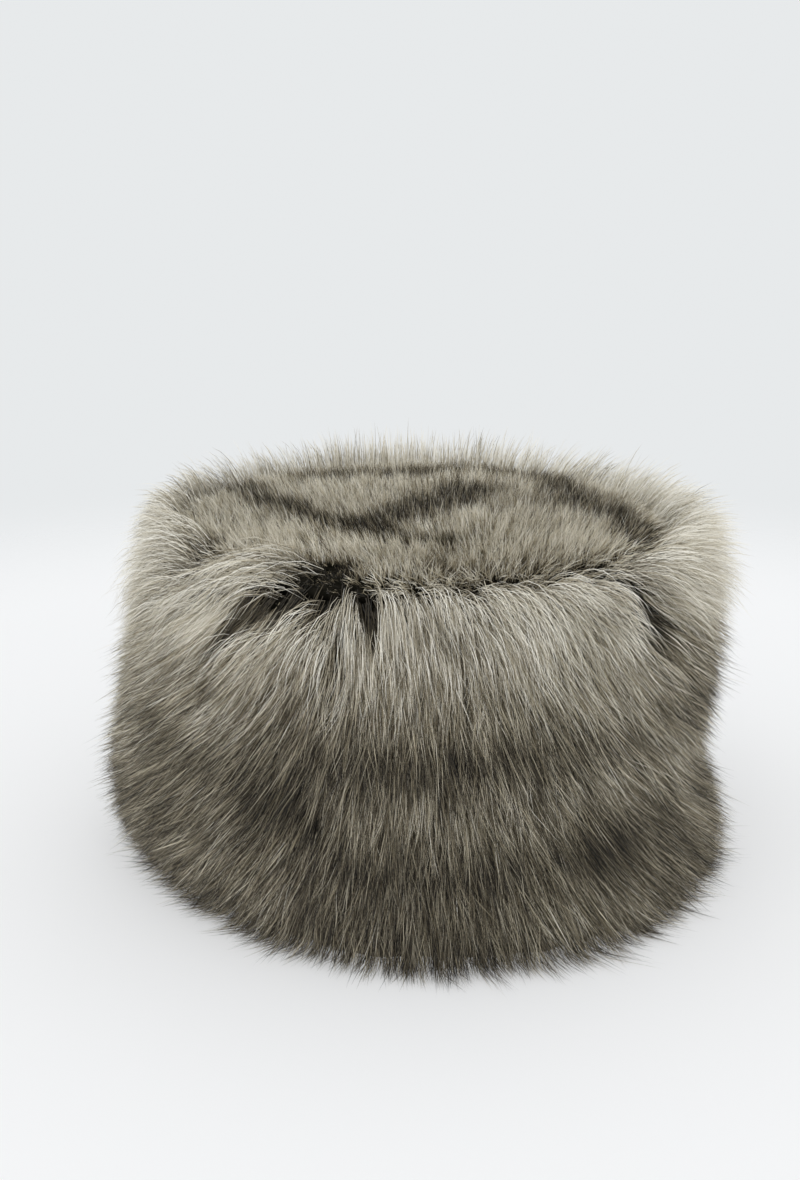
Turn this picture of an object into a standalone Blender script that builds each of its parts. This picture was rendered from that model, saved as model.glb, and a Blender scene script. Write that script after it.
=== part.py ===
# A tall round fur hat of the Central Asian kind: an oval side band of long-haired pelt and a
# flat crown panel of shorter fur sewn to its top edge. The hat stands on its hem.
# Metres, +Z up. The origin is on the surface that the hem rests on, under the middle of the
# head opening. The front of the hat faces -Y. Angles run round from the front, over +X.

import math
import random

import bmesh
import bpy
from mathutils import Vector

# The head opening, the crown's seam line and the pelt's own walls
OPENING_WIDTH = 0.172
OPENING_DEPTH = 0.198
SEAM_WIDTH = 0.190
SEAM_DEPTH = 0.206
BAND_HEIGHT = 0.128
BAND_WALL = 0.003
CROWN_WALL = 0.003

# The crown stands this clear of the band's top edge, and sags this far between its seams
SEAM_GAP = 0.0003
CROWN_SAG = 0.002

# How deep the fur stands. The dense underfur fills a share of it, and locks make up the rest
BAND_FUR_DEPTH = 0.042
CROWN_FUR_DEPTH = 0.013
UNDERFUR_SHARE = 0.80

# The hem lies on the surface, and the tips of the lowest locks stay just clear of it
HEM_FLAT_WIDTH = 0.008
HEM_TIP_CLEARANCE = 0.0015

# One lock of hair, and how far it may stray from its row, as a share of its own size
BAND_LOCK_LENGTH = 0.060
BAND_LOCK_WIDTH = 0.025
RIM_LOCK_LENGTH = 0.025
CROWN_LOCK_LENGTH = 0.022
CROWN_LOCK_WIDTH = 0.019
LOCK_FLATNESS = 0.42
LOCK_SWAY = 0.24
LOCK_CHANGE = 0.18
LOCK_STRAY = 0.30
LOCK_SIDES = 5

# The hair is combed away from the front: degrees from straight down at the left and the right
HAIR_LEAN = 36

PANEL_SEGMENTS = 44
FUR_SEED = 8

# How far the fur stands off the band. Height is a share of BAND_HEIGHT, and the four sides are
# shares of BAND_FUR_DEPTH
BAND_OUTLINE = (
    {"height": 1.00, "front": 0.06, "right": 0.12, "back": 0.10, "left": 0.06},
    {"height": 0.96, "front": 0.32, "right": 0.50, "back": 0.44, "left": 0.30},
    {"height": 0.86, "front": 0.46, "right": 0.70, "back": 0.60, "left": 0.46},
    {"height": 0.70, "front": 0.56, "right": 0.80, "back": 0.70, "left": 0.64},
    {"height": 0.50, "front": 0.64, "right": 0.74, "back": 0.73, "left": 0.80},
    {"height": 0.30, "front": 0.70, "right": 0.78, "back": 0.77, "left": 0.94},
    {"height": 0.13, "front": 0.74, "right": 0.94, "back": 0.80, "left": 1.04},
    {"height": 0.04, "front": 0.68, "right": 0.98, "back": 0.74, "left": 0.86},
)

# Pinched places where the fur is gathered in. Angle and spread are in degrees, height and
# reach are shares of BAND_HEIGHT, and depth is a share of the fur's own stand-off there
BAND_DENTS = (
    {"angle": -19, "height": 0.97, "spread": 10, "reach": 0.09, "depth": 0.75},
    {"angle": -36, "height": 0.93, "spread": 10, "reach": 0.08, "depth": 0.45},
    {"angle": 49, "height": 0.91, "spread": 10, "reach": 0.09, "depth": 0.50},
    {"angle": -84, "height": 0.97, "spread": 12, "reach": 0.07, "depth": 0.50},
    {"angle": -16, "height": 0.83, "spread": 6, "reach": 0.06, "depth": 0.30},
    {"angle": 88, "height": 0.36, "spread": 26, "reach": 0.09, "depth": 0.22},
    {"angle": -50, "height": 0.05, "spread": 26, "reach": 0.20, "depth": 0.20},
    {"angle": 178, "height": 0.60, "spread": 14, "reach": 0.20, "depth": 0.16},
)

# Rows of locks round the band, from the seam down. Root is a share of BAND_HEIGHT, and length
# a share of BAND_LOCK_LENGTH
BAND_LOCK_ROWS = (
    {"root": 0.82, "length": 0.86, "count": 30},
    {"root": 0.62, "length": 1.00, "count": 31},
    {"root": 0.41, "length": 1.04, "count": 34},
)

# The locks along the seam stand out from it: root as above, and their slope in degrees over
# the level, on each side of the hat
RIM_LOCKS = {
    "root": 0.92, "count": 31, "front": -60, "right": -4, "back": 50, "left": -28,
}

# The crown's underfur from the seam in to the middle: radius as a share of the crown's half
# width, height as a share of the underfur's depth
CROWN_PROFILE = (
    {"radius": 0.94, "height": 0.90},
    {"radius": 0.80, "height": 1.00},
    {"radius": 0.52, "height": 1.00},
    {"radius": 0.24, "height": 0.96},
)

# Rings of locks on the crown: radius as above, lean in degrees from upright, outwards
CROWN_LOCK_RINGS = (
    {"radius": 0.80, "count": 20, "length": 0.92, "lean": 58},
    {"radius": 0.58, "count": 14, "length": 1.00, "lean": 62},
    {"radius": 0.34, "count": 8, "length": 1.00, "lean": 62},
    {"radius": 0.10, "count": 3, "length": 1.00, "lean": 60},
)

# Between these radii, as shares of the crown's half width, the panel comes down by its sag
SAG_START = 0.94
SAG_END = 0.80

# Stations along one lock: how far along it, and how wide it is there
LOCK_STATIONS = (
    {"along": 0.00, "width": 0.72},
    {"along": 0.36, "width": 1.00},
    {"along": 0.74, "width": 0.62},
)

BAND_COLOUR = (0.155, 0.132, 0.098, 1.0)
CROWN_COLOUR = (0.245, 0.215, 0.165, 1.0)


def between(low, high, share):
    return low + (high - low) * share


def smooth_step(share):
    share = min(max(share, 0.0), 1.0)
    return share * share * (3 - 2 * share)


def read_table(rows, key, place, column):
    """The value of a column at a place between two rows. The rows run down in their key."""
    if place >= rows[0][key]:
        return rows[0][column]
    for upper, lower in zip(rows, rows[1:]):
        if place >= lower[key]:
            share = (upper[key] - place) / (upper[key] - lower[key])
            return between(upper[column], lower[column], smooth_step(share))
    return rows[-1][column]


def side_weights(angle):
    """How much each side of the hat counts at this angle. The four add up to one."""
    ahead, across = math.cos(angle), math.sin(angle)
    return {
        "front": max(ahead, 0.0) ** 2,
        "right": max(across, 0.0) ** 2,
        "back": max(-ahead, 0.0) ** 2,
        "left": max(-across, 0.0) ** 2,
    }


def by_side(row, angle):
    return sum(weight * row[side] for side, weight in side_weights(angle).items())


def dent_factor(angle, height):
    factor = 1.0
    for dent in BAND_DENTS:
        turn = (math.degrees(angle) - dent["angle"] + 180.0) % 360.0 - 180.0
        off = (turn / dent["spread"]) ** 2 + ((height - dent["height"]) / dent["reach"]) ** 2
        factor *= 1.0 - dent["depth"] * math.exp(-off)
    return factor


def fur_stand_off(angle, height):
    """How far the fur's outer form stands off the band's wall, in metres."""
    row = {
        side: read_table(BAND_OUTLINE, "height", height, side)
        for side in ("front", "right", "back", "left")
    }
    return BAND_FUR_DEPTH * by_side(row, angle) * dent_factor(angle, height)


def outwards(angle):
    return Vector((math.sin(angle), -math.cos(angle), 0.0))


def band_point(angle, height, out):
    """A point at this share of the band's height, this far out from the band's outer face."""
    half_width = between(OPENING_WIDTH / 2 + BAND_WALL, SEAM_WIDTH / 2, height)
    half_depth = between(OPENING_DEPTH / 2 + BAND_WALL, SEAM_DEPTH / 2, height)
    return Vector((
        (half_width + out) * math.sin(angle),
        -(half_depth + out) * math.cos(angle),
        BAND_HEIGHT * height,
    ))


def crown_point(angle, radius, above):
    """A point this far above the crown's underside. Radius is a share of its half width."""
    sag = CROWN_SAG * smooth_step((SAG_START - radius) / (SAG_START - SAG_END))
    return Vector((
        radius * SEAM_WIDTH / 2 * math.sin(angle),
        -radius * SEAM_DEPTH / 2 * math.cos(angle),
        BAND_HEIGHT + SEAM_GAP - sag + above,
    ))


def angles(count, start=0.0):
    return [start + 2 * math.pi * i / count for i in range(count)]


def strayed_angles(count, index, chance):
    """Places for a row's locks. Every second row starts half a step on, and none is even."""
    step = 2 * math.pi / count
    places = angles(count, step / 2 * (index % 2))
    return [a + step * chance.uniform(-LOCK_STRAY, LOCK_STRAY) for a in places]


def ring_of(bm, points):
    return [bm.verts.new(point) for point in points]


def loft(bm, rings, closed):
    """Faces between rings of vertices. Closed joins the last ring to the first one."""
    pairs = list(zip(rings, rings[1:]))
    if closed:
        pairs.append((rings[-1], rings[0]))
    for lower, upper in pairs:
        count = len(lower)
        for i in range(count):
            j = (i + 1) % count
            bm.faces.new((lower[i], lower[j], upper[j], upper[i]))


def fan(bm, ring, middle):
    apex = bm.verts.new(middle)
    for i, vertex in enumerate(ring):
        bm.faces.new((vertex, ring[(i + 1) % len(ring)], apex))


def finished_mesh(bm, name):
    bmesh.ops.triangulate(bm, faces=bm.faces)
    bmesh.ops.recalc_face_normals(bm, faces=bm.faces)
    mesh = bpy.data.meshes.new(name)
    bm.to_mesh(mesh)
    bm.free()
    return mesh


def band_pelt():
    """The band's pelt with its dense underfur: a closed ring that is open for the head."""
    bm = bmesh.new()
    turn = angles(PANEL_SEGMENTS)
    rings = [
        ring_of(bm, [band_point(a, height, -BAND_WALL) for a in turn])
        for height in (0.0, 0.5, 1.0)
    ]
    rings.append(ring_of(bm, [band_point(a, 1.0, 0.0) for a in turn]))
    for row in BAND_OUTLINE[1:]:
        height = row["height"]
        rings.append(ring_of(bm, [
            band_point(a, height, UNDERFUR_SHARE * fur_stand_off(a, height)) for a in turn
        ]))
    rings.append(ring_of(bm, [band_point(a, 0.0, HEM_FLAT_WIDTH) for a in turn]))
    loft(bm, rings, closed=True)
    return finished_mesh(bm, "side_band")


def crown_pelt():
    """The crown's pelt with its underfur. Its underside is flat over the head."""
    bm = bmesh.new()
    turn = angles(PANEL_SEGMENTS)
    underfur = UNDERFUR_SHARE * CROWN_FUR_DEPTH
    rings = [
        ring_of(bm, [crown_point(a, radius, 0.0) for a in turn])
        for radius in (SAG_END, SAG_START, 1.0)
    ]
    rings.append(ring_of(bm, [crown_point(a, 1.0, CROWN_WALL) for a in turn]))
    for row in CROWN_PROFILE:
        above = CROWN_WALL + row["height"] * underfur
        rings.append(ring_of(bm, [crown_point(a, row["radius"], above) for a in turn]))
    loft(bm, rings, closed=False)
    fan(bm, rings[0], crown_point(0.0, 0.0, 0.0))
    fan(bm, rings[-1], crown_point(0.0, 0.0, above))
    return finished_mesh(bm, "crown_panel")


def add_lock(bm, path, along_row, width):
    """One tapered lock from a root over a middle to a tip, flat against the fur below it."""
    root, middle, tip = path
    rings = []
    for station in LOCK_STATIONS:
        along = station["along"]
        centre = root.lerp(middle, along).lerp(middle.lerp(tip, along), along)
        ahead = (middle - root).lerp(tip - middle, along).normalized()
        up = ahead.cross(along_row).normalized()
        across = up.cross(ahead)
        half = width * station["width"] / 2
        rings.append(ring_of(bm, [
            centre + across * half * math.cos(a) + up * half * LOCK_FLATNESS * math.sin(a)
            for a in angles(LOCK_SIDES, math.pi / 2)
        ]))
    loft(bm, rings, closed=False)
    bm.faces.new(rings[0])
    fan(bm, rings[-1], tip)


def changed(value, chance):
    return value * chance.uniform(1.0 - LOCK_CHANGE, 1.0 + LOCK_CHANGE)


def along_band(angle):
    return Vector((math.cos(angle), math.sin(angle), 0.0))


def root_depth(angle, height, width):
    """A lock starts in the underfur, deep enough to hide its own root."""
    underfur = UNDERFUR_SHARE * fur_stand_off(angle, height)
    return max(width * LOCK_FLATNESS / 2, 0.55 * underfur)


def fallen_lock(angle, row, chance):
    """The path and width of a lock that hangs down over the fur below it."""
    length = changed(BAND_LOCK_LENGTH * row["length"], chance)
    width = changed(BAND_LOCK_WIDTH, chance)
    lowest = (HEM_TIP_CLEARANCE + chance.uniform(0.0, 0.5) * width) / BAND_HEIGHT
    tip_height = max(row["root"] - length / BAND_HEIGHT, lowest)
    middle_height = between(row["root"], tip_height, 0.45)
    reach = fur_stand_off(angle, tip_height)
    lean = math.tan(math.radians(HAIR_LEAN * math.sin(angle)))
    fall = (row["root"] - tip_height) * BAND_HEIGHT
    sideways = lean * fall + chance.uniform(-LOCK_SWAY, LOCK_SWAY) * length
    sway = sideways / (SEAM_WIDTH / 2 + reach)
    root_out = root_depth(angle, row["root"], width)
    middle_out = between(root_out, fur_stand_off(angle, middle_height), 0.95)
    path = (
        band_point(angle, row["root"], root_out),
        band_point(angle + 0.4 * sway, middle_height, middle_out),
        band_point(angle + sway, tip_height, reach),
    )
    return path, width


def rim_lock(angle, chance):
    """The path and width of a lock that stands out from the fur along the seam."""
    gathered = between(0.45, 1.0, dent_factor(angle, 1.0))
    length = changed(RIM_LOCK_LENGTH, chance) * gathered
    width = changed(BAND_LOCK_WIDTH, chance) * gathered
    slope = math.radians(by_side(RIM_LOCKS, angle))
    root = band_point(angle, RIM_LOCKS["root"], root_depth(angle, RIM_LOCKS["root"], width))
    turn = angle + chance.uniform(-LOCK_SWAY, LOCK_SWAY)
    away = outwards(turn)
    ahead = away * math.cos(slope) + Vector((0.0, 0.0, math.sin(slope)))
    middle = root + 0.5 * length * away.lerp(ahead, 0.6).normalized()
    return (root, middle, root + length * ahead), width


def band_locks(chance):
    bm = bmesh.new()
    for index, row in enumerate(BAND_LOCK_ROWS):
        for a in strayed_angles(row["count"], index, chance):
            path, width = fallen_lock(a, row, chance)
            add_lock(bm, path, along_band(a), width)
    for a in strayed_angles(RIM_LOCKS["count"], 1, chance):
        path, width = rim_lock(a, chance)
        add_lock(bm, path, along_band(a), width)
    return finished_mesh(bm, "band_locks")


def crown_locks(chance):
    bm = bmesh.new()
    upright = Vector((0.0, 0.0, 1.0))
    root_above = CROWN_WALL + 0.4 * UNDERFUR_SHARE * CROWN_FUR_DEPTH
    for index, ring in enumerate(CROWN_LOCK_RINGS):
        for a in strayed_angles(ring["count"], index, chance):
            length = changed(CROWN_LOCK_LENGTH * ring["length"], chance)
            width = changed(CROWN_LOCK_WIDTH, chance)
            lean = math.radians(changed(ring["lean"], chance))
            turn = a + chance.uniform(-0.4, 0.4)
            root = crown_point(a, ring["radius"], root_above)
            away = outwards(turn)
            ahead = upright * math.cos(lean) + away * math.sin(lean)
            middle = root + 0.5 * length * upright.lerp(ahead, 0.6).normalized()
            add_lock(bm, (root, middle, root + length * ahead), along_band(turn), width)
    return finished_mesh(bm, "crown_locks")


def fur_material(name, colour):
    material = bpy.data.materials.new(name)
    material.use_nodes = True
    shader = material.node_tree.nodes["Principled BSDF"]
    shader.inputs["Base Color"].default_value = colour
    shader.inputs["Roughness"].default_value = 0.85
    shader.inputs["Metallic"].default_value = 0.0
    return material


def collection_of(name):
    collection = bpy.data.collections.new(name)
    bpy.context.scene.collection.children.link(collection)
    return collection


def placed(name, mesh, collection):
    thing = bpy.data.objects.new(name, mesh)
    collection.objects.link(thing)
    return thing


def fuse_locks(panel, locks):
    """The locks become one body with the pelt that they grow from."""
    locks.hide_render = True
    locks.display_type = "WIRE"
    union = panel.modifiers.new("locks", "BOOLEAN")
    union.operation = "UNION"
    union.solver = "EXACT"
    union.use_self = True
    union.object = locks


def main():
    for thing in list(bpy.data.objects):
        bpy.data.objects.remove(thing)
    hat = collection_of("fur_hat")
    helpers = collection_of("lock_shapes")
    chance = random.Random(FUR_SEED)

    band = placed("side_band", band_pelt(), hat)
    band.data.materials.append(fur_material("band_fur", BAND_COLOUR))
    fuse_locks(band, placed("band_lock_shapes", band_locks(chance), helpers))

    crown = placed("crown_panel", crown_pelt(), hat)
    crown.data.materials.append(fur_material("crown_fur", CROWN_COLOUR))
    fuse_locks(crown, placed("crown_lock_shapes", crown_locks(chance), helpers))


main()
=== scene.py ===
import math

import bpy
import numpy as np
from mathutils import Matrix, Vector


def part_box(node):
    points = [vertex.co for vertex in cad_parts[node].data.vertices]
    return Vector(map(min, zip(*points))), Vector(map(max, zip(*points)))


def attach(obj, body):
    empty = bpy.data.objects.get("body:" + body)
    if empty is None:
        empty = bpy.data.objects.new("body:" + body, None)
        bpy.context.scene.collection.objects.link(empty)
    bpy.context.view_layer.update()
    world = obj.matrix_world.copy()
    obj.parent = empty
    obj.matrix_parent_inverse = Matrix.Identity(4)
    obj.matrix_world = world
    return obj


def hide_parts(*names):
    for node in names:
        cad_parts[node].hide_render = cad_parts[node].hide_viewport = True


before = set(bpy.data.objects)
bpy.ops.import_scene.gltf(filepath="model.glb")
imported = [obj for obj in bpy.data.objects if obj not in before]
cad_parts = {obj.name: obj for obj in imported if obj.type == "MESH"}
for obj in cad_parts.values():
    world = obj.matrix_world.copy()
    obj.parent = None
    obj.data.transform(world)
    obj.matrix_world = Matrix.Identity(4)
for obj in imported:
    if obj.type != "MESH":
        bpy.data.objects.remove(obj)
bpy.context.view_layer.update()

# Metres. The hat stands on z = 0, its front faces -Y. Angles run from the front over +X, in
# radians, and a share is a height up the band: 0 at the hem, 1 at the crown's seam.

# The pelt's own form. The openings and the seam are read from the frame
hatForm = {
    "wall": 0.003,
    "sag": 0.002,
    "furDepth": 0.042,
    "turnRadius": 0.125,  # turns a distance round the band into an angle
    # share, and how much of that depth the fur has at the front, right, back and left
    "outline": (
        (0.00, 0.73, 0.96, 0.74, 0.84),
        (0.04, 0.74, 0.98, 0.76, 0.86),
        (0.13, 0.75, 0.94, 0.80, 1.04),
        (0.30, 0.70, 0.78, 0.77, 0.94),
        (0.50, 0.64, 0.74, 0.73, 0.80),
        (0.70, 0.56, 0.80, 0.70, 0.64),
        (0.86, 0.46, 0.70, 0.60, 0.46),
        (0.96, 0.33, 0.56, 0.46, 0.31),
        (1.02, 0.22, 0.44, 0.34, 0.20),
        (1.08, 0.06, 0.22, 0.14, 0.05),
    ),
    # angle in degrees, share, spread in degrees, reach as a share, and how far it goes in
    "dents": (
        (-19.5, 1.05, 8, 0.09, 0.86),
        (-36, 0.94, 8, 0.06, 0.40),
        (49, 0.94, 8, 0.07, 0.65),
        (-84, 0.99, 10, 0.06, 0.40),
        (-16, 0.83, 4, 0.05, 0.25),
        (88, 0.36, 26, 0.09, 0.24),
        (-52, 0.02, 28, 0.22, 0.42),
        (30, 0.00, 20, 0.12, -0.16),
        (-26, 0.00, 14, 0.12, 0.12),
        (178, 0.60, 14, 0.20, 0.16),
    ),
    # the crown: radius as a share of its half width, and the height of its underfur
    "crownTop": ((0.0, 0.0105), (0.24, 0.0105), (0.52, 0.0110), (0.80, 0.0110), (0.94, 0.0095),
                 (1.00, 0.0050)),
}


def readForm():
    # the opening's half widths come from the hem's corners that lie near each axis
    onFloor, nearAxis = 0.0002, 0.006
    corners = np.array([v.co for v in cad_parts["side_band"].data.vertices])
    hem = np.abs(corners[corners[:, 2] < onFloor])
    crownLow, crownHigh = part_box("crown_panel")
    hatForm["openX"] = hem[hem[:, 1] < nearAxis][:, 0].min()
    hatForm["openY"] = hem[hem[:, 0] < nearAxis][:, 1].min()
    hatForm["seamX"] = (crownHigh.x - crownLow.x) / 2
    hatForm["seamY"] = (crownHigh.y - crownLow.y) / 2
    hatForm["seamZ"] = crownLow.z + hatForm["sag"]


def degreesFrom(angle, start):
    # how far each angle is from one given in degrees, from -180 to 180
    return (np.degrees(angle) - start + 180) % 360 - 180


def bySide(angle, front, right, back, left):
    ahead, across = np.cos(angle), np.sin(angle)
    return (front * np.maximum(ahead, 0) ** 2 + right * np.maximum(across, 0) ** 2
            + back * np.maximum(-ahead, 0) ** 2 + left * np.maximum(-across, 0) ** 2)


def furDepthAt(angle, share):
    rows = np.array(hatForm["outline"])
    depth = bySide(angle, *(np.interp(share, rows[:, 0], rows[:, k]) for k in (1, 2, 3, 4)))
    for dentAngle, dentShare, spread, reach, deep in hatForm["dents"]:
        turn = degreesFrom(angle, dentAngle)
        depth = depth * (1 - deep * np.exp(-(turn / spread) ** 2
                                           - ((share - dentShare) / reach) ** 2))
    return hatForm["furDepth"] * depth


def onBand(angle, share, out):
    lean = np.clip(share, 0, None)
    halfX = hatForm["openX"] + (hatForm["seamX"] - hatForm["wall"] - hatForm["openX"]) * lean
    halfY = hatForm["openY"] + (hatForm["seamY"] - hatForm["wall"] - hatForm["openY"]) * lean
    reach = hatForm["wall"] + out
    return np.stack(np.broadcast_arrays((halfX + reach) * np.sin(angle),
                                        -(halfY + reach) * np.cos(angle),
                                        hatForm["seamZ"] * share), -1)


def onCrown(angle, radius, above):
    return np.stack(np.broadcast_arrays(radius * hatForm["seamX"] * np.sin(angle),
                                        -radius * hatForm["seamY"] * np.cos(angle),
                                        hatForm["seamZ"] + above), -1)


waveSum = {"waves": 14, "sizes": (0.6, 1.7), "gain": 2.2}


def ripples(points, wavelength, seed):
    # smooth lumps in space, from about -1 to 1, as a sum of waves that run every way
    rng = np.random.default_rng(seed)
    waves = waveSum["waves"]
    ways = rng.normal(size=(waves, 3))
    ways /= np.linalg.norm(ways, axis=1)[:, None]
    ways /= wavelength * rng.uniform(*waveSum["sizes"], waves)[:, None]
    turns = rng.uniform(0, 2 * math.pi, waves)
    return np.sin(points @ ways.T * 2 * math.pi + turns).mean(-1) * waveSum["gain"]


def fromNumbers(name, corners, faces, tones=None):
    # a smooth mesh of triangles. Tones are its places on the colour chart, one for each corner
    mesh = bpy.data.meshes.new(name)
    mesh.vertices.add(len(corners))
    mesh.vertices.foreach_set("co", corners.astype(np.float32).ravel())
    mesh.loops.add(faces.size)
    mesh.loops.foreach_set("vertex_index", faces.astype(np.int32).ravel())
    mesh.polygons.add(len(faces))
    mesh.polygons.foreach_set("loop_start", np.arange(0, faces.size, 3, dtype=np.int32))
    mesh.update(calc_edges=True)
    mesh.shade_smooth()
    if tones is not None:
        chart = mesh.uv_layers.new(name="OFBake")
        chart.uv.foreach_set("vector", tones[faces.ravel()].astype(np.float32).ravel())
    piece = bpy.data.objects.new(name, mesh)
    bpy.context.scene.collection.objects.link(piece)
    return piece


def dress(piece, material, node):
    piece.data.materials.append(material)
    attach(piece, "root")
    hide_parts(node)


# Materials

furColours = {
    # place on the chart, and the dye's colour there
    "cool": ((0.00, (0.010, 0.009, 0.007)), (0.22, (0.042, 0.036, 0.026)),
             (0.42, (0.135, 0.118, 0.086)), (0.62, (0.340, 0.306, 0.238)),
             (0.82, (0.610, 0.563, 0.465)), (1.00, (0.880, 0.850, 0.770))),
    "warm": ((0.00, (0.014, 0.011, 0.007)), (0.22, (0.055, 0.043, 0.025)),
             (0.42, (0.160, 0.129, 0.078)), (0.62, (0.380, 0.325, 0.218)),
             (0.82, (0.650, 0.585, 0.440)), (1.00, (0.900, 0.855, 0.745))),
    "roughness": 0.55, "shine": 0.30, "softGlow": 0.06, "glowSpread": 0.5,
}


def newMaterial(name):
    material = bpy.data.materials.new(name)
    material.use_nodes = True
    return material, material.node_tree, material.node_tree.nodes["Principled BSDF"]


def rampOf(tree, colours, place):
    ramp = tree.nodes.new("ShaderNodeValToRGB")
    stops = ramp.color_ramp.elements
    while len(stops) < len(colours):
        stops.new(0.5)
    for stop, (position, colour) in zip(stops, colours):
        stop.position = position
        stop.color = (*colour, 1)
    tree.links.new(place, ramp.inputs["Fac"])
    return ramp.outputs["Color"]


def furMaterial(name):
    # every hair carries its place on this chart: dark to light across it, cool to warm up it
    material, tree, shader = newMaterial(name)
    chart = tree.nodes.new("ShaderNodeUVMap")
    chart.uv_map = "OFBake"
    split = tree.nodes.new("ShaderNodeSeparateXYZ")
    tree.links.new(chart.outputs["UV"], split.inputs["Vector"])
    mix = tree.nodes.new("ShaderNodeMix")
    mix.data_type = "RGBA"
    tree.links.new(split.outputs["Y"], mix.inputs["Factor"])
    tree.links.new(rampOf(tree, furColours["cool"], split.outputs["X"]), mix.inputs["A"])
    tree.links.new(rampOf(tree, furColours["warm"], split.outputs["X"]), mix.inputs["B"])
    tree.links.new(mix.outputs["Result"], shader.inputs["Base Color"])
    shader.inputs["Roughness"].default_value = furColours["roughness"]
    shader.inputs["Specular IOR Level"].default_value = furColours["shine"]
    shader.inputs["Sheen Weight"].default_value = furColours["softGlow"]
    shader.inputs["Sheen Roughness"].default_value = furColours["glowSpread"]
    return material


def addBump(tree, shader, height, strength, depth):
    bump = tree.nodes.new("ShaderNodeBump")
    bump.inputs["Strength"].default_value = strength
    bump.inputs["Distance"].default_value = depth
    tree.links.new(height, bump.inputs["Height"])
    tree.links.new(bump.outputs["Normal"], shader.inputs["Normal"])


# the underfur's near-black colour is partly its own dark undercoat and partly painted shade deep
# in the pile, where it shows between the hairs
underfurAndShadeLook = {
    "dark": (0.003, 0.003, 0.002), "light": (0.018, 0.016, 0.012), "darkAt": 0.35,
    "lightAt": 0.72, "grain": 260.0, "grainDetail": 4, "grainStretch": 0.18,
    "bump": 0.6, "bumpDepth": 0.001, "roughness": 0.95,
}


def underfurAndShadeMaterial(name):
    material, tree, shader = newMaterial(name)
    place = tree.nodes.new("ShaderNodeTexCoord")
    stretch = tree.nodes.new("ShaderNodeMapping")
    # hair runs down, so the grain does
    stretch.inputs["Scale"].default_value = (1, 1, underfurAndShadeLook["grainStretch"])
    tree.links.new(place.outputs["Object"], stretch.inputs["Vector"])
    grain = tree.nodes.new("ShaderNodeTexNoise")
    grain.inputs["Scale"].default_value = underfurAndShadeLook["grain"]
    grain.inputs["Detail"].default_value = underfurAndShadeLook["grainDetail"]
    tree.links.new(stretch.outputs["Vector"], grain.inputs["Vector"])
    colour = rampOf(tree, ((underfurAndShadeLook["darkAt"], underfurAndShadeLook["dark"]),
                           (underfurAndShadeLook["lightAt"], underfurAndShadeLook["light"])),
                    grain.outputs["Fac"])
    tree.links.new(colour, shader.inputs["Base Color"])
    addBump(tree, shader, grain.outputs["Fac"], underfurAndShadeLook["bump"], underfurAndShadeLook["bumpDepth"])
    shader.inputs["Roughness"].default_value = underfurAndShadeLook["roughness"]
    shader.inputs["Specular IOR Level"].default_value = 0.0
    return material


# the knitted back of the pelt, seen inside the hat
backingLook = {
    "thread": (0.150, 0.132, 0.108), "gap": (0.065, 0.056, 0.045), "threadAt": 0.7,
    "gapAt": 0.2, "stitches": 420.0, "rows": 140.0, "waver": 1.5,
    "bump": 0.35, "bumpDepth": 0.0006, "roughness": 0.85,
}


def backingMaterial(name):
    material, tree, shader = newMaterial(name)
    place = tree.nodes.new("ShaderNodeTexCoord")
    rows = tree.nodes.new("ShaderNodeTexWave")
    rows.wave_type = "BANDS"
    rows.bands_direction = "Z"
    rows.inputs["Scale"].default_value = backingLook["rows"]
    rows.inputs["Distortion"].default_value = backingLook["waver"]
    tree.links.new(place.outputs["Object"], rows.inputs["Vector"])
    loops = tree.nodes.new("ShaderNodeTexNoise")
    loops.inputs["Scale"].default_value = backingLook["stitches"]
    tree.links.new(place.outputs["Object"], loops.inputs["Vector"])
    both = tree.nodes.new("ShaderNodeMath")  # the mean of the rows and the loops
    both.operation = "MULTIPLY_ADD"
    both.inputs[1].default_value = 0.5
    tree.links.new(rows.outputs["Fac"], both.inputs[0])
    half = tree.nodes.new("ShaderNodeMath")
    half.operation = "MULTIPLY"
    half.inputs[1].default_value = 0.5
    tree.links.new(loops.outputs["Fac"], half.inputs[0])
    tree.links.new(half.outputs["Value"], both.inputs[2])
    colour = rampOf(tree, ((backingLook["gapAt"], backingLook["gap"]),
                           (backingLook["threadAt"], backingLook["thread"])),
                    both.outputs["Value"])
    tree.links.new(colour, shader.inputs["Base Color"])
    addBump(tree, shader, both.outputs["Value"], backingLook["bump"], backingLook["bumpDepth"])
    shader.inputs["Roughness"].default_value = backingLook["roughness"]
    return material


# The pelt itself, under the long hair

pelt = {
    "around": 180, "insideRows": 8, "outsideRows": 40, "outsideShares": (0.98, 0.03),
    # how much of the fur's depth is underfur, and how lumpy that is
    "underfur": 0.62, "hemFlat": 0.008, "lump": 0.11, "lumpSize": 0.016,
    # the crown's rows as shares of its half width, and where its underside turns level
    "crownInside": (0.02, 0.3, 0.6, 0.80, 0.94, 1.0), "levelFrom": 0.94, "levelOver": 0.14,
    "crownOutside": (1.0, 0.985, 0.96, 0.94, 0.90, 0.85, 0.80, 0.7, 0.6, 0.5, 0.4, 0.3, 0.2,
                     0.1, 0.02),
    "crownGap": 0.0003, "crownUnderfur": 0.65, "crownLump": 0.1, "crownLumpSize": 0.02,
}


def loftedFaces(rows, columns, closed):
    # triangles over a grid of rows that each go right round
    down, across = np.meshgrid(np.arange(rows if closed else rows - 1), np.arange(columns),
                               indexing="ij")
    a = down * columns + across
    b = down * columns + (across + 1) % columns
    c = (down + 1) % rows * columns + (across + 1) % columns
    d = (down + 1) % rows * columns + across
    return np.concatenate([np.stack([a, b, c], -1).reshape(-1, 3),
                           np.stack([a, c, d], -1).reshape(-1, 3)])


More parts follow.
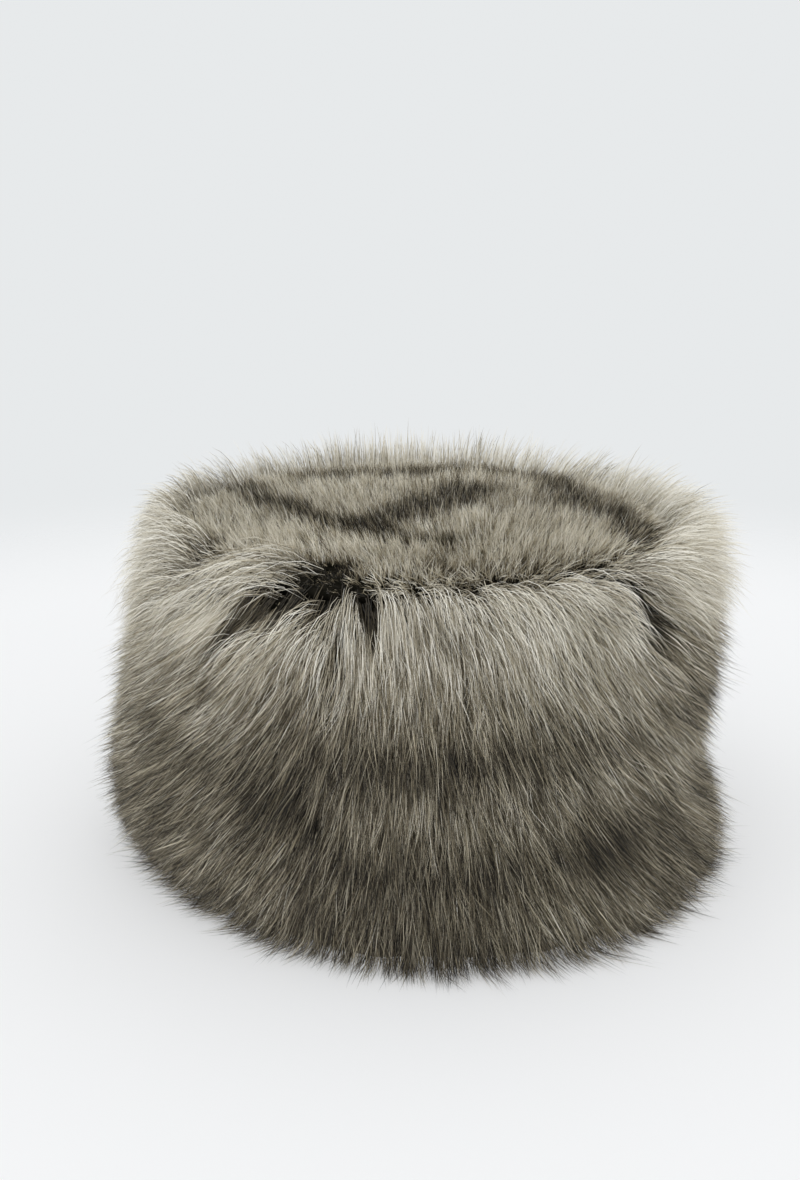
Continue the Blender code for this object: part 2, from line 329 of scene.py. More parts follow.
def makeBandPelt():
    angle = np.linspace(0, 2 * math.pi, pelt["around"], endpoint=False)
    rows = [onBand(angle, share, -hatForm["wall"])
            for share in np.linspace(0, 1, pelt["insideRows"])]
    rows.append(onBand(angle, 1.0, 0.0))
    inside = len(rows)
    for share in np.linspace(*pelt["outsideShares"], pelt["outsideRows"]):
        flat = onBand(angle, share, 0.0)
        lump = 1 + pelt["lump"] * ripples(flat, pelt["lumpSize"], 3)
        rows.append(onBand(angle, share, pelt["underfur"] * furDepthAt(angle, share) * lump))
    rows.append(onBand(angle, 0.0, pelt["hemFlat"]))
    corners = np.concatenate(rows)
    faces = loftedFaces(len(rows), pelt["around"], True)[:, ::-1]
    piece = fromNumbers("bandPelt", corners, faces)
    dress(piece, underfurAndShadeMaterial("bandUnderfurAndShade"), "side_band")
    piece.data.materials.append(backingMaterial("knittedBacking"))
    rowOfFace = faces.min(1) // pelt["around"]
    isInside = (rowOfFace < inside - 2) & (faces.max(1) // pelt["around"] < inside)
    piece.data.polygons.foreach_set("material_index", isInside.astype(np.int32))


def makeCrownPelt():
    angle = np.linspace(0, 2 * math.pi, pelt["around"], endpoint=False)
    tops = np.array(hatForm["crownTop"])
    rows = []
    for radius in pelt["crownInside"]:
        drop = hatForm["sag"] * np.clip((pelt["levelFrom"] - radius) / pelt["levelOver"], 0, 1)
        rows.append(onCrown(angle, radius, pelt["crownGap"] - drop))
    inside = len(rows)
    for radius in pelt["crownOutside"]:
        flat = onCrown(angle, radius, 0.0)
        lump = 1 + pelt["crownLump"] * ripples(flat, pelt["crownLumpSize"], 5)
        high = pelt["crownUnderfur"] * np.interp(radius, tops[:, 0], tops[:, 1])
        rows.append(onCrown(angle, radius, high * lump))
    corners = np.concatenate(rows)
    faces = loftedFaces(len(rows), pelt["around"], True)
    piece = fromNumbers("crownPelt", corners, faces)
    # the crown's underfur colour is partly dark undercoat and partly painted shade
    dress(piece, underfurAndShadeMaterial("crownUnderfur"), "crown_panel")
    piece.data.materials.append(bpy.data.materials["knittedBacking"])
    isInside = faces.max(1) // pelt["around"] < inside
    piece.data.polygons.foreach_set("material_index", isInside.astype(np.int32))


# Hairs

# how far a ribbon may roll in radians, the step on the colour chart between its two edges,
# how much of the chart's rim stays unused, and the height that ribbons face away from
hairRibbon = {
    "roll": 0.9, "chartStep": 0.006, "chartRim": 0.002, "middle": 0.6, "letters": "ABCDEFGH",
}


def hairMesh(name, paths, widths, tones, warmth, rng):
    # each hair is a ribbon along its points that ends in a tip: (hairs, points, 3)
    hairs, points = paths.shape[:2]
    rings = points - 1
    ahead = np.gradient(paths, axis=1)
    ahead /= np.linalg.norm(ahead, axis=2, keepdims=True) + 1e-9
    outward = paths - [0, 0, hatForm["seamZ"] * hairRibbon["middle"]]
    aside = np.cross(ahead, outward)
    aside /= np.linalg.norm(aside, axis=2, keepdims=True) + 1e-9
    roll = rng.uniform(-hairRibbon["roll"], hairRibbon["roll"], hairs)[:, None, None]
    aside = aside * np.cos(roll) + np.cross(ahead, aside) * np.sin(roll)
    half = aside[:, :rings] * widths[:, :rings, None] / 2
    ring = np.stack([paths[:, :rings] - half, paths[:, :rings] + half], 2)
    corners = np.concatenate([ring.reshape(hairs, -1, 3), paths[:, -1:]], 1)
    faces = []
    for k in range(0, 2 * rings - 2, 2):
        faces += [(k, k + 1, k + 3), (k, k + 3, k + 2)]
    faces.append((2 * rings - 2, 2 * rings - 1, 2 * rings))
    faces = np.arange(hairs)[:, None, None] * (2 * rings + 1) + np.array(faces)
    step = hairRibbon["chartStep"]
    across = np.repeat(tones[:, :rings], 2, 1) + np.tile([0, step], rings)
    upward = warmth[:, None] + np.tile([0, 2 * step], rings)
    chart = np.stack([np.concatenate([across, tones[:, -1:] + step / 2], 1),
                      np.concatenate([upward, warmth[:, None] + step], 1)], -1)
    chart = np.clip(chart, hairRibbon["chartRim"], 1 - hairRibbon["chartRim"])
    return fromNumbers(name, corners.reshape(-1, 3), faces.reshape(-1, 3), chart.reshape(-1, 2))


def dressInParts(name, pieces, order, hairs, rng, material):
    # the hairs in this order, cut into pieces that all stand for the band's fur
    for number, part in enumerate(np.array_split(order, pieces)):
        piece = hairMesh(name + hairRibbon["letters"][number], *(row[part] for row in hairs), rng)
        dress(piece, material, "side_band")


# how light the fur is at each share of the band's height, and where it is lighter or darker
bandDye = {
    "rows": ((-0.10, 0.36), (0.06, 0.38), (0.15, 0.36), (0.24, 0.37), (0.29, 0.33),
             (0.36, 0.40), (0.43, 0.49), (0.50, 0.44), (0.59, 0.28), (0.67, 0.46),
             (0.74, 0.54), (0.80, 0.63), (0.86, 0.71), (0.92, 0.76), (1.02, 0.80),
             (1.20, 0.80)),
    # angle in degrees, share, spread in degrees, reach as a share, and change
    "patches": (
        (-25, 0.44, 10, 0.08, -0.32), (-55, 0.46, 14, 0.09, -0.14), (33, 0.29, 10, 0.07, -0.32),
        (10, 0.29, 9, 0.05, -0.12), (8, 0.59, 16, 0.06, -0.15), (-38, 0.63, 12, 0.09, 0.27),
        (-78, 0.70, 20, 0.26, 0.26), (-38, 0.20, 11, 0.08, 0.14), (38, 0.13, 13, 0.07, 0.18),
        (44, 0.60, 14, 0.12, 0.16), (-2, 0.70, 10, 0.05, 0.06), (-45, 0.92, 15, 0.11, 0.24),
        (90, 1.00, 60, 0.16, 0.34), (180, 1.05, 60, 0.10, 0.15), (-16, 0.15, 9, 0.06, -0.14),
        # the strong dark spots at 48.5 and -56 degrees by the seam are painted shade where the fur
        # pinches and parts
        (48.5, 0.95, 5, 0.07, -0.60), (-56, 1.04, 4, 0.05, -0.40), (-76, 1.04, 16, 0.13, 0.22),
        (18, 0.90, 14, 0.10, -0.04),
    ),
    "mottle": 0.09, "mottleSize": 0.040, "mottleSquash": (1, 1, 1.6),
    "streaks": 0.09, "streakSize": 0.011, "streakStretch": (1, 1, 0.6),
    "waver": 0.03, "waverSize": 0.06,
}


def bandTone(angle, share, points):
    rows = np.array(bandDye["rows"])
    waver = bandDye["waver"] * ripples(points, bandDye["waverSize"], 11)
    tone = np.interp(share + waver, rows[:, 0], rows[:, 1])
    for spotAngle, spotShare, spread, reach, change in bandDye["patches"]:
        turn = degreesFrom(angle, spotAngle)
        tone = tone + change * np.exp(-(turn / spread) ** 2 - ((share - spotShare) / reach) ** 2)
    mottle = ripples(points * bandDye["mottleSquash"], bandDye["mottleSize"], 12)
    streaks = ripples(points * bandDye["streakStretch"], bandDye["streakSize"], 13)
    return tone + bandDye["mottle"] * mottle + bandDye["streaks"] * streaks


# places where the fur parts, its dark roots show and painted shade darkens the hairs: angle in
# degrees, share, half length and half width in metres, the turn of its long side from upright in
# degrees, and how bare it is
partings = (
    (-20, 1.14, 0.018, 0.012, 0, 1.0),
    (-19.5, 1.045, 0.0105, 0.0105, 0, 1.0),
    (-27.5, 0.985, 0.014, 0.0044, 32, 0.86),
    (-33.5, 0.960, 0.014, 0.0036, 36, 0.88),
    (-38, 0.935, 0.015, 0.0050, 38, 0.94),
    (-10, 0.990, 0.012, 0.0044, -32, 0.88),
    (-16, 0.845, 0.007, 0.0026, 30, 0.9),
    (46.5, 0.960, 0.011, 0.0090, -45, 0.94),
    (49.5, 0.920, 0.013, 0.0098, -43, 0.94),
    (-55, 1.10, 0.013, 0.010, 0, 1.0),
    (36, 1.06, 0.007, 0.0040, 0, 0.9),
    (8, 0.81, 0.004, 0.0014, 0, 0.7),
)


def bareness(angle, share):
    bare = np.zeros(np.broadcast(angle, share).shape)
    for atAngle, atShare, long, wide, tilt, strength in partings:
        across = np.radians(degreesFrom(angle, atAngle)) * hatForm["turnRadius"]
        upward = (share - atShare) * hatForm["seamZ"]
        lean = math.radians(tilt)
        along = upward * math.cos(lean) + across * math.sin(lean)
        aside = across * math.cos(lean) - upward * math.sin(lean)
        bare = np.maximum(bare, strength * np.exp(-(along / long) ** 2 - (aside / wide) ** 2))
    return bare


# how the hair is combed on each side, in degrees from straight down, and round the partings
combing = {
    "sides": ((-180, 0), (-130, -18), (-90, -42), (-60, -46), (-40, -38), (-27, -27),
              (-16, -8), (0, 2), (15, 8), (28, 18), (45, 30), (65, 36), (95, 30), (130, 14),
              (180, 0)),
    # angle in degrees, share and strength of each place that the hair spreads from
    "whirl": 0.024, "whirls": ((-18, 1.08, 1.0), (48, 1.02, 0.5), (-83, 1.06, 0.5)),
    "mostUpward": 0.1,
}


def combed(angle, share):
    # the way that the hair runs: its part along the band and its part upwards
    rows = np.array(combing["sides"])
    lean = np.radians(np.interp(degreesFrom(angle, 0), rows[:, 0], rows[:, 1]))
    along, upward = np.sin(lean), -np.cos(lean)
    for atAngle, atShare, strength in combing["whirls"]:
        across = np.radians(degreesFrom(angle, atAngle)) * hatForm["turnRadius"]
        above = (share - atShare) * hatForm["seamZ"]
        far = np.hypot(across, above) + 1e-6
        pull = strength * np.exp(-(far / combing["whirl"]) ** 2)
        along = along * (1 - pull) + pull * across / far
        upward = upward * (1 - pull) + pull * np.minimum(above / far, combing["mostUpward"])
    size = np.hypot(along, upward) + 1e-9
    return along / size, upward / size


bandFur = {
    "wisps": 18000, "hairsInWisp": 10, "pieces": 4, "seed": 21, "roots": (0.07, 1.0),
    "length": 0.0195, "wispLengths": (0.75, 1.2), "hairLengths": (0.75, 1.15),
    "width": 0.00024, "widths": (0.7, 1.2), "taper": (0.9, 1, 0),
    # where in the fur's depth a hair has its root and its layer, and how far it stands off
    "base": 0.52, "layers": (0.68, 0.90), "layerSpread": 0.02, "layerReached": 0.9,
    "lift": 0.10, "mostLift": 0.62, "liftCaps": (0.7, 1),
    # degrees that a wisp and a hair in it stray, and how far a wisp bends
    "stray": 7.0, "hairStray": 5, "bend": 0.12,
    # metres that a wisp's roots spread along the band and up it
    "wispRoom": 0.0013, "wispRise": 0.003,
    # how far a wisp's hairs draw together at its tip, at the hem and higher up
    "wispClose": (0.88, 0.55),
    # by the hem: how high it reaches, how far hairs may pass the floor's level, their rest
    # above it, and how far they spread out on it
    "hemShare": 0.25, "hemSpare": (0.003, 0.013), "steepest": 0.3, "floorGap": (0.0004, 0.003),
    "hemPush": 0.6, "mostPush": 0.009,
    "darkHairs": 0.42, "lightHairs": 0.30, "wispTone": 0.08, "warmth": 0.70, "warmthSpread": 0.18,
    # hairs by the hem darken towards their tips; hairs by a parting get painted shade
    "hemDarker": 0.20, "partingShade": 0.30, "partingReach": 1.3,
    "shortTone": 0.42, "shortDarker": 0.10,
    # how much lighter a hair is at its root, its middle and its tip
    "toneAlong": (-0.28, 0.0, 0.02),
}


strandDye = {"spread": 0.06, "guardHairDarker": 0.26, "paleHairLighter": 0.32}


def strandTones(rng, count, along, zone, fur):
    # most hairs keep near their zone's tone, some are dark guard hairs and some are pale
    kind = rng.random(count)
    own = rng.normal(0, strandDye["spread"], count)
    own = np.where(kind < fur["darkHairs"], own - strandDye["guardHairDarker"], own)
    own = np.where(kind > 1 - fur["lightHairs"], own + strandDye["paleHairLighter"], own)
    return zone + own[:, None] + np.interp(along, (0, 0.5, 1), fur["toneAlong"])


def warmthOf(rng, count, fur):
    return np.clip(rng.normal(fur["warmth"], fur["warmthSpread"], count), 0, 1)


def widthsOf(rng, count, fur):
    return fur["width"] * rng.uniform(*fur["widths"], count)[:, None] * np.array(fur["taper"])


def makeBandFur(material):
    rng = np.random.default_rng(bandFur["seed"])
    wisps, each = bandFur["wisps"], bandFur["hairsInWisp"]
    angle = rng.uniform(0, 2 * math.pi, wisps)
    share = rng.uniform(*bandFur["roots"], wisps)
    along, upward = combed(angle, share)
    stray = np.radians(rng.normal(0, bandFur["stray"], wisps))
    wispLength = bandFur["length"] * rng.uniform(*bandFur["wispLengths"], wisps)
    wispLayer = rng.uniform(*bandFur["layers"], wisps)
    wispLift = rng.exponential(bandFur["lift"], wisps)
    wispBend = rng.normal(0, bandFur["bend"], wisps)

    def spreadOut(values):
        return np.repeat(values, each)

    count = wisps * each
    turn = spreadOut(stray) + np.radians(rng.normal(0, bandFur["hairStray"], count))
    runAlong = spreadOut(along) * np.cos(turn) - spreadOut(upward) * np.sin(turn)
    runUp = spreadOut(upward) * np.cos(turn) + spreadOut(along) * np.sin(turn)
    length = spreadOut(wispLength) * rng.uniform(*bandFur["hairLengths"], count)
    rootHeight = spreadOut(share) * hatForm["seamZ"]  # a hair by the hem is cut near the floor
    spare = spreadOut(rng.uniform(*bandFur["hemSpare"], wisps))
    length = np.minimum(length, spare + rootHeight / np.maximum(-runUp, bandFur["steepest"]))
    t = np.linspace(0, 1, 3)
    lowness = np.clip(1 - spreadOut(share) / bandFur["hemShare"], 0, 1)[:, None]
    hemClose, highClose = bandFur["wispClose"]
    close = 1 - (highClose + (hemClose - highClose) * lowness) * t
    offAlong = rng.normal(0, bandFur["wispRoom"], count)
    offUp = rng.normal(0, bandFur["wispRise"], count)
    move = length[:, None] * (runAlong[:, None] * t + spreadOut(wispBend)[:, None] * t ** 2)
    hairAngle = spreadOut(angle)[:, None] \
        + (offAlong[:, None] * close + move) / hatForm["turnRadius"]
    height = (rootHeight + offUp)[:, None] + length[:, None] * runUp[:, None] * t
    floorGap = rng.uniform(*bandFur["floorGap"], count)[:, None]
    pressed = np.maximum(floorGap - height, 0)
    height = np.maximum(height, floorGap)
    hairShare = height / hatForm["seamZ"]
    layer = spreadOut(wispLayer) + rng.normal(0, bandFur["layerSpread"], count)
    ease = np.sin(np.clip(t / bandFur["layerReached"], 0, 1) * math.pi / 2)
    full = bandFur["base"] + (layer[:, None] - bandFur["base"]) * ease
    out = furDepthAt(hairAngle, hairShare) * full
    lift = spreadOut(wispLift) + rng.exponential(bandFur["lift"], count)
    lift = np.minimum(lift, bandFur["mostLift"] * rng.uniform(*bandFur["liftCaps"], count))
    out = out + lift[:, None] * t ** 2 * length[:, None]
    out = out + np.minimum(bandFur["hemPush"] * pressed, bandFur["mostPush"])
    paths = onBand(hairAngle, hairShare, out)

    bare = bareness(hairAngle, hairShare)
    # only short dark hairs grow in a parting, their darkness partly painted shade
    short = rng.random(count) < bare.max(1) * bandFur["partingReach"]
    zone = bandTone(hairAngle, hairShare, paths)
    zone = zone + spreadOut(rng.normal(0, bandFur["wispTone"], wisps))[:, None]
    tones = strandTones(rng, count, t, zone, bandFur)
    # hairs by the hem darken towards their tips, and hairs by a parting carry painted shade
    tones = tones - bandFur["hemDarker"] * lowness * t - bandFur["partingShade"] * bare
    tones[short] = bandFur["shortTone"] * tones[short] - bandFur["shortDarker"]
    paths[short] = np.stack([paths[short, 0], paths[short, :2].mean(1), paths[short, 1]], 1)
    warmth = warmthOf(rng, count, bandFur)
    widths = widthsOf(rng, count, bandFur)
    order = np.argsort(np.arctan2(paths[:, 0, 0], -paths[:, 0, 1]), kind="stable")
    dressInParts("bandHair", bandFur["pieces"], order, (paths, widths, tones, warmth), rng,
                 material)
    print("band hairs:", len(paths))


rimFur = {
    "hairs": 36000, "pieces": 2, "points": 5, "seed": 22,
    "width": 0.00023, "widths": (0.7, 1.2), "taper": (0.9, 1, 1, 0.75, 0), "lengths": (0.6, 1.12),
    "darkHairs": 0.32, "lightHairs": 0.30, "toneAlong": (-0.30, -0.02, 0.02),
    "warmth": 0.32, "warmthSpread": 0.15,
    # tufts with smoky tips: how dark, how big, and how much of the rim stays clear of them
    "smokyTips": 0.60, "tuftSize": 0.015, "clear": 0.15,
    # the part of the hairs that the front goes without, and how far a parting keeps them out
    "thinFront": 0.34, "partingReach": 1.4,
    # shares that roots lie below the seam, the same again at the back, and their spread
    "below": 0.12, "rootSpread": 0.012, "depths": (0.1, 0.6),
    # degrees that slopes swing and stray, and that the lowest hairs lie flatter, more so behind
    "swing": 12, "swingSize": 0.03, "slopeStray": 9, "flatter": (28, 60),
    "turnStray": 8, "turnSwing": 0.25, "turnSwingSize": 0.025,
    # angle in degrees; in millimetres the hair's length, its root's rise over the seam and how
    # far inside the seam it may lie; then its slope over the level at the root and at the tip,
    # and its turn from straight outwards
    "sides": (
        (-180, 24, 5, 0, 72, 30, 0),
        (-130, 24, 5, 0, 70, 10, -15),
        (-90, 26, 6, 2, 58, -30, -40),
        (-60, 32, 8, 8, 46, -50, -60),
        (-40, 35, 9, 11, 40, -58, -66),
        (-24, 35, 10, 13, 34, -60, -68),
        (-13, 26, 5, 3, 36, -72, 34),
        (0, 22, 5, 1, 32, -72, 16),
        (20, 22, 5, 1, 30, -70, 18),
        (45, 26, 4, 1, 30, -50, 32),
        (65, 28, 5, 1, 42, -30, 26),
        (90, 27, 4, 0, 50, -12, 10),
        (130, 26, 4, 0, 60, 12, 5),
        (180, 24, 5, 0, 72, 30, 0),
    ),
}


def grown(roots, slopes, ways, lengths, points):
    # hairs that leave their roots at one slope and end at another
    paths = [roots]
    for k in range(points - 1):
        slope = slopes[0] + (slopes[1] - slopes[0]) * (k + 0.5) / (points - 1)
        ahead = ways * np.cos(slope)[:, None]
        ahead[:, 2] = np.sin(slope)
        paths.append(paths[-1] + ahead * (lengths / (points - 1))[:, None])
    return np.stack(paths, 1)


def makeRimFur(material):
    rng = np.random.default_rng(rimFur["seed"])
    count = rimFur["hairs"]
    angle = rng.uniform(-math.pi, math.pi, count)
    rows = np.array(rimFur["sides"])
    length, rise, inside, rootSlope, tipSlope, turn = (
        np.interp(np.degrees(angle), rows[:, 0], rows[:, k]) for k in range(1, 7))
    down = rng.random(count) ** 1.4  # 1 is the lowest root, whose hair lies flattest
    high = (1 - down) * rng.random(count) ** 0.5
    behind = np.clip(0.3 - np.cos(angle), 0, 1)  # 1 over most of the back
    share = 1 + high * rise / 1000 / hatForm["seamZ"] - rimFur["below"] * (1 + behind) * down \
        + rng.normal(0, rimFur["rootSpread"], count)
    out = rng.uniform(*rimFur["depths"], count) * furDepthAt(angle, share) - high * inside / 1000
    roots = onBand(angle, share, out)
    flatter, flatterBehind = rimFur["flatter"]
    tilt = rimFur["swing"] * ripples(roots, rimFur["swingSize"], 31) \
        - (flatter + flatterBehind * behind * down) * down \
        + rng.normal(0, rimFur["slopeStray"], count)
    slopes = [np.radians(slope + tilt) for slope in (rootSlope, tipSlope)]
    heading = angle + np.radians(turn + rng.normal(0, rimFur["turnStray"], count)) \
        + rimFur["turnSwing"] * ripples(roots, rimFur["turnSwingSize"], 32)
    ways = np.stack([np.sin(heading), -np.cos(heading), 0 * heading], -1)
    lengths = length / 1000 * rng.uniform(*rimFur["lengths"], count)
    paths = grown(roots, slopes, ways, lengths, rimFur["points"])
    t = np.linspace(0, 1, rimFur["points"])
    zone = bandTone(angle[:, None], np.ones((1, rimFur["points"])), paths)
    tones = strandTones(rng, count, t, zone, rimFur)
    smoky = np.clip(ripples(roots, rimFur["tuftSize"], 33) - rimFur["clear"], 0, 1)[:, None]
    tones = tones - rimFur["smokyTips"] * smoky * t ** 2
    hidden = bareness(np.arctan2(paths[..., 0], -paths[..., 1] * hatForm["seamX"]
                                 / hatForm["seamY"]), paths[..., 2] / hatForm["seamZ"])
    ahead = np.clip(1.6 * np.cos(angle) - 0.2, 0, 1)  # 1 over most of the front
    keep = rng.random(count) > np.maximum(rimFur["partingReach"] * hidden.max(1),
                                          rimFur["thinFront"] * ahead)
    widths = widthsOf(rng, count, rimFur)
    warmth = warmthOf(rng, count, rimFur)
    order = np.argsort(angle, kind="stable")
    dressInParts("rimHair", rimFur["pieces"], order[keep[order]], (paths, widths, tones, warmth),
                 rng, material)
    print("rim hairs:", keep.sum())


crownFur = {
    "wisps": 6600, "hairsInWisp": 8, "seed": 23,
    "length": 0.0092, "wispLengths": (0.8, 1.2), "hairLengths": (0.75, 1.15),
    "width": 0.00030, "widths": (0.7, 1.2), "taper": (1, 0.85, 0),
    # how high in the underfur roots are, how far a wisp's roots spread and draw in at its tip
    "rootRise": 0.52, "wispRoom": 0.0013, "wispFlat": (1, 1, 0.2), "wispClose": 0.6,
    # hairs lie away from the whorl, in degrees over the level at root and tip, less at the edge
    "whorl": (0.026, -0.034), "whorlReach": 0.1, "slopes": (80, 50), "whorlSlope": 10,
    "edgeFall": (45, 80), "edge": 0.88, "slopeStray": 8,
    "turnSwing": 0.45, "turnSwingSize": 0.03, "turnStray": 0.5,
    "darkHairs": 0.36, "lightHairs": 0.26, "toneAlong": (-0.60, -0.20, 0.06),
    "tone": 1.01, "mottle": 0.13, "mottleSize": 0.020, "wispTone": 0.10,
    "darkWisps": 0.14, "darkWispTone": 0.32, "warmth": 0.85, "warmthSpread": 0.12,
    "streakWaver": 0.003, "streakWaverSize": 0.03, "streakUneven": (0.4, 1.5),
    # streaks: a run of places on the crown, its half width and how much darker it is
    "streaks": (
        (((-0.100, 0.046), (-0.072, 0.046), (-0.056, 0.012), (-0.035, -0.021),
          (-0.007, -0.048), (0.014, -0.056)), 0.009, 0.70),
        (((-0.009, -0.020), (0.005, 0.010), (0.023, 0.036)), 0.015, 0.84),
        # this run round the back and right edge is partly the edge fur's dark roots and partly a
        # painted shadow along the seam
        (((-0.046, 0.070), (-0.010, 0.071), (0.021, 0.083), (0.053, 0.080), (0.066, 0.025),
          (0.086, -0.016), (0.090, -0.040)), 0.010, 0.66),
        (((0.032, 0.006), (0.066, 0.018)), 0.008, 0.28),
        (((-0.078, -0.030), (-0.050, -0.062)), 0.020, -0.14),
        (((0.010, -0.092), (0.060, -0.080)), 0.012, 0.14),
        (((0.055, -0.056), (0.078, -0.046)), 0.014, -0.20),
    ),
    # bare places where the fur pinches: the middle and the radius, how much shorter hairs are
    # there, and how much painted shade darkens them
    "bare": (((-0.034, -0.086), 0.014), ((-0.033, -0.104), 0.016), ((-0.086, -0.052), 0.012),
             ((0.064, -0.078), 0.005)),
    "bareCut": 0.80, "bareShade": 0.8,
}


def nearRun(places, run):
    # distance from each place to a run of straight stretches
    nearest = np.full(len(places), 1e9)
    for start, end in zip(run, run[1:]):
        start, end = np.array(start), np.array(end)
        share = np.clip(((places - start) @ (end - start)) / ((end - start) @ (end - start)), 0, 1)
        gap = np.linalg.norm(places - start - share[:, None] * (end - start), axis=1)
        nearest = np.minimum(nearest, gap)
    return nearest


def makeCrownFur(material):
    rng = np.random.default_rng(crownFur["seed"])
    wisps, each = crownFur["wisps"], crownFur["hairsInWisp"]
    angle = np.repeat(rng.uniform(0, 2 * math.pi, wisps), each)
    radius = np.repeat(np.sqrt(rng.uniform(0.0, 1.0, wisps)), each)
    count = wisps * each
    tops = np.array(hatForm["crownTop"])
    high = np.interp(radius, tops[:, 0], tops[:, 1])
    middle = onCrown(angle, radius, high * crownFur["rootRise"])
    off = rng.normal(0, crownFur["wispRoom"], (count, 3)) * crownFur["wispFlat"]
    roots = middle + off
    away = middle[:, :2] - np.array(crownFur["whorl"])
    turn = np.arctan2(away[:, 0], -away[:, 1]) \
        + crownFur["turnSwing"] * ripples(middle, crownFur["turnSwingSize"], 41) \
        + np.repeat(rng.normal(0, crownFur["turnStray"], wisps), each) \
        + rng.normal(0, crownFur["turnStray"], count)
    far = np.clip(np.linalg.norm(away, axis=1) / crownFur["whorlReach"], 0, 1)
    bare = np.zeros(count)
    for spot, wide in crownFur["bare"]:
        gap = np.linalg.norm(middle[:, :2] - spot, axis=1)
        bare = np.maximum(bare, np.exp(-(gap / wide) ** 4))
    edge = np.clip((radius - crownFur["edge"]) / (1 - crownFur["edge"]), 0, 1) ** 1.5
    slope = np.repeat(rng.normal(0, crownFur["slopeStray"], wisps), each) \
        + rng.normal(0, crownFur["slopeStray"], count)
    slopes = [np.radians(crownFur["slopes"][k] + crownFur["whorlSlope"] * (1 - far) + slope
                         - crownFur["edgeFall"][k] * edge) for k in (0, 1)]
    ways = np.stack([np.sin(turn), -np.cos(turn), 0 * turn], -1)
    lengths = crownFur["length"] * np.repeat(rng.uniform(*crownFur["wispLengths"], wisps), each) \
        * rng.uniform(*crownFur["hairLengths"], count) * (1 - crownFur["bareCut"] * bare)
    paths = grown(roots, slopes, ways, lengths, 3)
    t = np.linspace(0, 1, 3)
    paths[:, :, :2] -= (off[:, None] * crownFur["wispClose"] * t[:, None])[:, :, :2]
    mottle = crownFur["mottle"] * ripples(middle, crownFur["mottleSize"], 42)
    wispTone = rng.normal(0, crownFur["wispTone"], wisps)
    wispTone = wispTone - crownFur["darkWispTone"] * (rng.random(wisps) < crownFur["darkWisps"])
    # the bare places get painted shade
    zone = crownFur["tone"] + mottle - crownFur["bareShade"] * bare + np.repeat(wispTone, each)
    waver = crownFur["streakWaver"] * ripples(middle, crownFur["streakWaverSize"], 43)
    shown = paths[:, 1, :2] + waver[:, None]
    uneven = np.repeat(rng.uniform(*crownFur["streakUneven"], wisps), each)
    for run, wide, strength in crownFur["streaks"]:
        zone = zone - strength * uneven * np.exp(-(nearRun(shown, run) / wide) ** 2)
    tones = strandTones(rng, count, t, zone[:, None], crownFur)
    warmth = warmthOf(rng, count, crownFur)
    widths = widthsOf(rng, count, crownFur)
    dress(hairMesh("crownHair", paths, widths, tones, warmth, rng),
          material, "crown_panel")
    print("crown hairs:", count)


# Room, light and camera

room = {
    "floorColour": (0.56, 0.56, 0.565), "floorGlow": 0.36, "floorRoughness": 0.9,
    "floorShine": 0.1, "floorReach": 1.2,
    "floorEdge": (0.40, 0.75),  # metres from the middle where the paper fades into the haze
    "skyColour": (0.80, 0.82, 0.83), "sky": 1.0,
    "aim": (0, 0, 0.07),
    "key": (-0.35, -0.9, 1.5), "keyPower": 6.0, "keySize": 1.6,
    "fill": (0.5, -1.6, 0.45), "fillPower": 4.0, "fillSize": 1.6,
    "back": (0.4, 1.2, 1.3), "backPower": 3.0, "backSize": 1.5,
}


def addLight(name, place, power, size):
    lamp = bpy.data.lights.new(name, "AREA")
    lamp.energy = power
    lamp.size = size
    light = bpy.data.objects.new(name, lamp)
    light.location = place
    aim = Vector(room["aim"]) - Vector(place)
    light.rotation_euler = aim.to_track_quat("-Z", "Y").to_euler()
    bpy.context.scene.collection.objects.link(light)


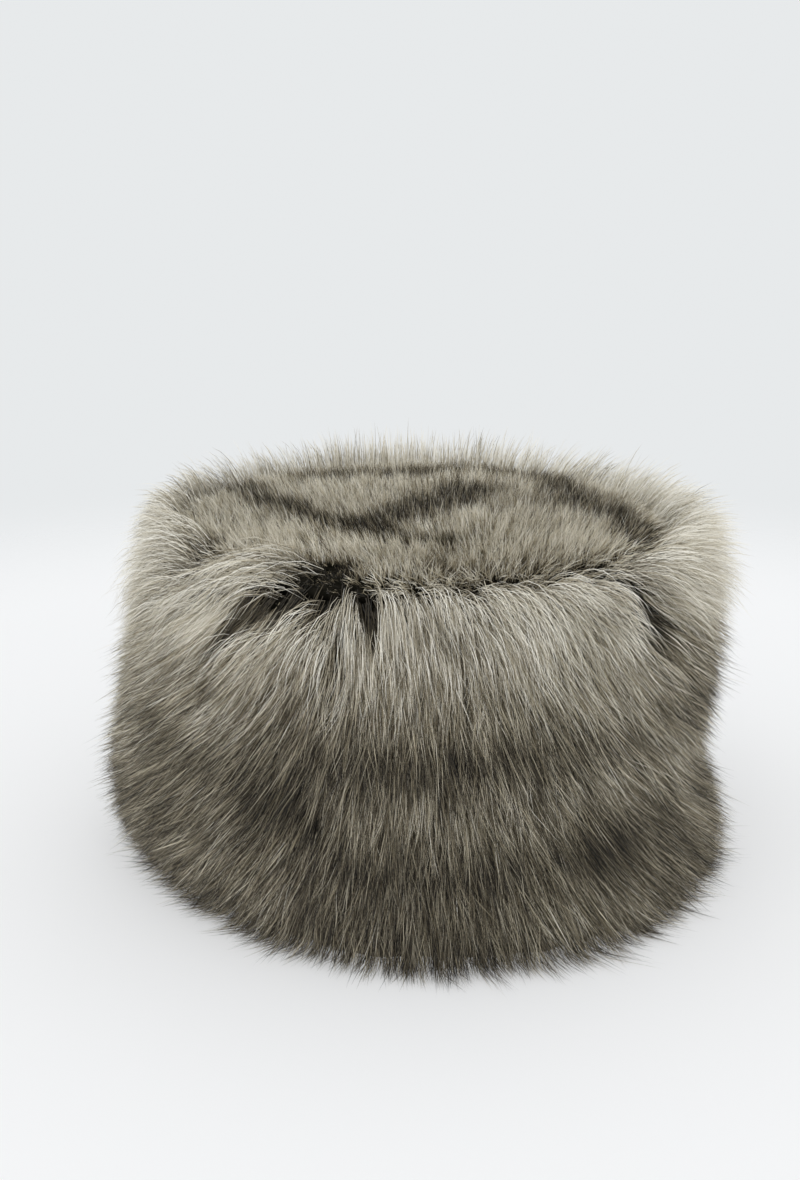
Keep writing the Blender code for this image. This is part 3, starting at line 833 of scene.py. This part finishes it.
def makeRoom():
    reach = room["floorReach"]
    floor = fromNumbers("floor", np.array([(-reach, -reach, 0), (reach, -reach, 0),
                                           (reach, reach, 0), (-reach, reach, 0)]),
                        np.array([(0, 1, 2), (0, 2, 3)]))
    paper, tree, shader = newMaterial("palePaper")
    shader.inputs["Base Color"].default_value = (*room["floorColour"], 1)
    shader.inputs["Emission Color"].default_value = (1, 1, 1, 1)
    shader.inputs["Emission Strength"].default_value = room["floorGlow"]
    shader.inputs["Roughness"].default_value = room["floorRoughness"]
    shader.inputs["Specular IOR Level"].default_value = room["floorShine"]
    place = tree.nodes.new("ShaderNodeTexCoord")
    far = tree.nodes.new("ShaderNodeVectorMath")
    far.operation = "LENGTH"
    tree.links.new(place.outputs["Object"], far.inputs[0])
    fade = tree.nodes.new("ShaderNodeMapRange")
    fade.interpolation_type = "SMOOTHSTEP"
    fade.inputs["From Min"].default_value = room["floorEdge"][0]
    fade.inputs["From Max"].default_value = room["floorEdge"][1]
    tree.links.new(far.outputs["Value"], fade.inputs["Value"])
    clear = tree.nodes.new("ShaderNodeBsdfTransparent")
    mix = tree.nodes.new("ShaderNodeMixShader")
    tree.links.new(fade.outputs["Result"], mix.inputs["Fac"])
    tree.links.new(shader.outputs["BSDF"], mix.inputs[1])
    tree.links.new(clear.outputs["BSDF"], mix.inputs[2])
    tree.links.new(mix.outputs["Shader"], tree.nodes["Material Output"].inputs["Surface"])
    floor.data.materials.append(paper)
    world = bpy.data.worlds.new("paleRoom")
    world.use_nodes = True
    sky = world.node_tree.nodes["Background"]
    sky.inputs["Color"].default_value = (*room["skyColour"], 1)
    sky.inputs["Strength"].default_value = room["sky"]
    bpy.context.scene.world = world
    for name in ("key", "fill", "back"):
        addLight(name, room[name], room[name + "Power"], room[name + "Size"])
    bpy.context.scene.view_settings.view_transform = "Standard"


cameraSet = {"lens": 50.0, "film": 36.0, "place": (-0.0069, -0.6471, 0.2831), "down": 15.34}


def makeCamera():
    lens = bpy.data.cameras.new("camera")
    lens.lens = cameraSet["lens"]
    lens.sensor_width = cameraSet["film"]
    camera = bpy.data.objects.new("camera", lens)
    camera.location = cameraSet["place"]
    camera.rotation_euler = (math.radians(90 - cameraSet["down"]), 0, 0)
    bpy.context.scene.collection.objects.link(camera)
    bpy.context.scene.camera = camera


def main():
    readForm()
    print("form read from the frame")
    makeBandPelt()
    makeCrownPelt()
    print("pelt made")
    hair = furMaterial("dyedHair")
    makeBandFur(hair)
    makeRimFur(hair)
    makeCrownFur(hair)
    makeRoom()
    makeCamera()
    print("room, light and camera made")


main()
